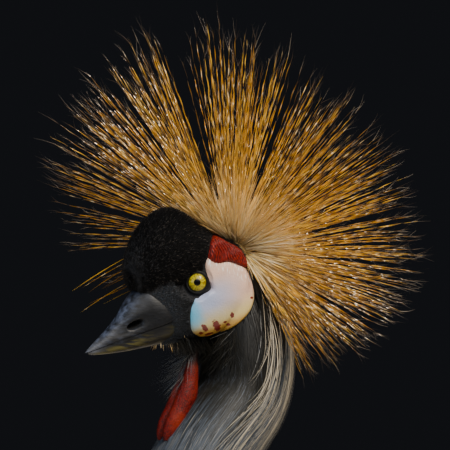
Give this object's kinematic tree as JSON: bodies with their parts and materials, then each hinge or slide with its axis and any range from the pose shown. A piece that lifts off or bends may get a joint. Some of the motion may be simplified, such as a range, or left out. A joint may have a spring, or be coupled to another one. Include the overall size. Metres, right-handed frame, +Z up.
{
  "type": "grey crowned crane",
  "caption": "Life-size standing grey crowned crane with a fan crest of golden bristles, bare white cheeks, red throat wattle, folded wings and long legs.",
  "frame": {"origin": "on the floor, under the middle of the whole bird's box", "axes": "+Z up, the bird faces -X, +Y is the bird's right side"},
  "size_m": [0.6046, 0.2926, 1.0984],
  "materials": {
    "bill": "slate-black horn, satin, finely scuffed",
    "velvet_cap": "black velvet of very short dense feathers",
    "face": "charcoal bare and finely feathered skin",
    "cheek_skin": "bare white skin, smooth, slightly glossy",
    "red_skin": "bare red skin, finely ridged",
    "wattle_skin": "bare red skin, pebbled, softly glossy",
    "crest_bristles": "stiff golden bristle feathers, glossy along each bristle",
    "neck_feathers": "soft hair-like grey feathers",
    "body_feathers": "dark grey pointed body feathers",
    "wing_coverts": "white covert feathers with straw-coloured plumes",
    "chestnut_feathers": "chestnut wing feathers",
    "black_feathers": "black flight and tail feathers",
    "eyes": "glossy pale yellow eye with a black pupil",
    "leg_skin": "blackish scaled skin",
    "claws": "black horn"
  },
  "bodies": {
    "root": {"head": "face", "bill_upper": "bill", "bill_lower": "bill", "cap": "velvet_cap", "eye_left": "eyes", "cheek_left": "cheek_skin", "red_patch_left": "red_skin", "eye_right": "eyes", "cheek_right": "cheek_skin", "red_patch_right": "red_skin", "neck_upper": "neck_feathers", "neck_lower": "neck_feathers", "wattle": "wattle_skin", "crest": "crest_bristles", "torso": "body_feathers", "tail": "black_feathers", "wing_left": "wing_coverts", "wing_left_secondaries": "chestnut_feathers", "wing_left_primaries": "black_feathers", "wing_right": "wing_coverts", "wing_right_secondaries": "chestnut_feathers", "wing_right_primaries": "black_feathers", "thigh_left": "body_feathers", "shank_left": "leg_skin", "tarsus_left": "leg_skin", "foot_left": "leg_skin", "claw_left_middle": "claws", "claw_left_inner": "claws", "claw_left_outer": "claws", "claw_left_hind": "claws", "thigh_right": "body_feathers", "shank_right": "leg_skin", "tarsus_right": "leg_skin", "foot_right": "leg_skin", "claw_right_middle": "claws", "claw_right_inner": "claws", "claw_right_outer": "claws", "claw_right_hind": "claws"}
  },
  "joints": []
}
